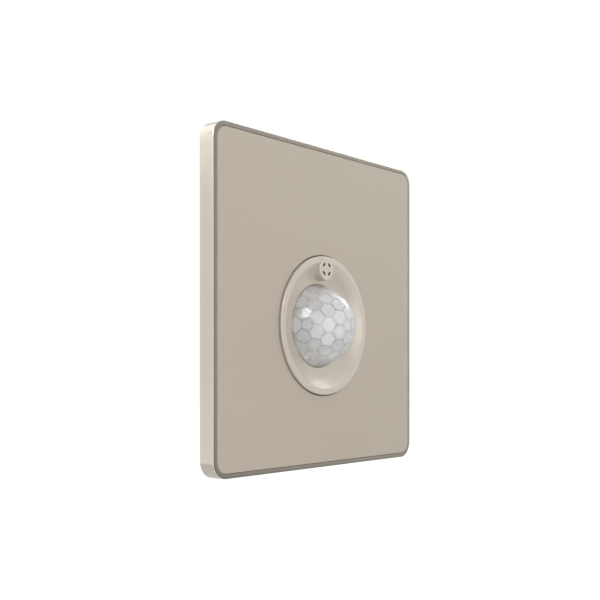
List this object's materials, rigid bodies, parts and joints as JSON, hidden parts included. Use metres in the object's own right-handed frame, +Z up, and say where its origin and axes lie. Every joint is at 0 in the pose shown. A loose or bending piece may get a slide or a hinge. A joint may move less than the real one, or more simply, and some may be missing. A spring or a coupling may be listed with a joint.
{
  "type": "motion sensor light switch",
  "caption": "Square flush wall plate with a dished motion sensor and dome lens; pull-off cover, mounting frame and rear housing with screw terminals.",
  "frame": {"origin": "centre of the plate on the wall plane, midway between the two wall box screw slots", "axes": "+Y into the wall, +Z up, +X to the right seen from the room"},
  "size_m": [0.086, 0.032, 0.086],
  "materials": {
    "champagne_metal": "anodised, satin",
    "champagne_panel": "matte painted",
    "champagne_moulding": "satin painted",
    "milky_lens": "milky translucent, gloss outside",
    "grey_moulding": "moulded",
    "white_moulding": "moulded",
    "black_moulding": "moulded",
    "blue_moulding": "moulded",
    "yellow_moulding": "moulded",
    "green_moulding": "moulded",
    "board_green": "solder mask",
    "tinned_can": "plated",
    "dark_window": "coated silicon",
    "photocell": "lacquered",
    "ceramic": "glazed",
    "steel": "zinc plated",
    "brass": "tinned brass"
  },
  "bodies": {
    "switch_base": {"mounting_frame": "white_moulding", "sensor_bezel": "champagne_moulding", "fresnel_lens": "milky_lens", "lens_retainer": "black_moulding", "pir_sensor": "tinned_can", "pir_window": "dark_window", "pir_spacer": "white_moulding", "light_sensor": "photocell", "sensor_board": "board_green", "trimmer_bases": "blue_moulding", "header_bar": "black_moulding", "header_pins": "brass", "board_spacers": "white_moulding", "power_board": "board_green", "board_screws": "steel", "relay": "blue_moulding", "film_capacitor": "yellow_moulding", "bulk_capacitor": "black_moulding", "varistor": "blue_moulding", "fuse": "ceramic", "terminal_block": "green_moulding", "terminal_bars": "brass", "rear_housing": "white_moulding", "housing_screws": "steel"},
    "cover": {"trim_frame": "champagne_metal", "front_panel": "champagne_panel", "cover_backing": "grey_moulding"},
    "time_rotor": {"time_trimmer": "white_moulding"},
    "lux_rotor": {"lux_trimmer": "white_moulding"},
    "cage_live": {"terminal_cage_live": "steel"},
    "screw_live": {"terminal_screw_live": "steel"},
    "cage_neutral": {"terminal_cage_neutral": "steel"},
    "screw_neutral": {"terminal_screw_neutral": "steel"},
    "cage_load": {"terminal_cage_load": "steel"},
    "screw_load": {"terminal_screw_load": "steel"}
  },
  "joints": [
    {"name": "cover_pull", "type": "slide", "parent": "switch_base", "child": "cover", "axis": [0, -1, 0], "range_m": [0, 0.03]},
    {"name": "time_turn", "type": "hinge", "parent": "switch_base", "child": "time_rotor", "pos_m": [-0.008, 0, 0.02055], "axis": [0, 1, 0], "range_deg": [-105, 105]},
    {"name": "lux_turn", "type": "hinge", "parent": "switch_base", "child": "lux_rotor", "pos_m": [0.008, 0, 0.02055], "axis": [0, 1, 0], "range_deg": [-105, 105]},
    {"name": "screw_live_turn", "type": "hinge", "parent": "switch_base", "child": "screw_live", "pos_m": [-0.00762, 0.016, -0.0235], "axis": [0, -1, 0], "range_deg": [0, 1728]},
    {"name": "cage_live_slide", "type": "slide", "parent": "switch_base", "child": "cage_live", "axis": [0, 1, 0], "range_m": [0, 0.0024]},
    {"name": "screw_neutral_turn", "type": "hinge", "parent": "switch_base", "child": "screw_neutral", "pos_m": [0, 0.016, -0.0235], "axis": [0, -1, 0], "range_deg": [0, 1728]},
    {"name": "cage_neutral_slide", "type": "slide", "parent": "switch_base", "child": "cage_neutral", "axis": [0, 1, 0], "range_m": [0, 0.0024]},
    {"name": "screw_load_turn", "type": "hinge", "parent": "switch_base", "child": "screw_load", "pos_m": [0.00762, 0.016, -0.0235], "axis": [0, -1, 0], "range_deg": [0, 1728]},
    {"name": "cage_load_slide", "type": "slide", "parent": "switch_base", "child": "cage_load", "axis": [0, 1, 0], "range_m": [0, 0.0024]}
  ],
  "couplings": [
    {"joint": "screw_live_turn", "follows": "cage_live_slide", "rad_per_m": 12566},
    {"joint": "screw_neutral_turn", "follows": "cage_neutral_slide", "rad_per_m": 12566},
    {"joint": "screw_load_turn", "follows": "cage_load_slide", "rad_per_m": 12566}
  ]
}
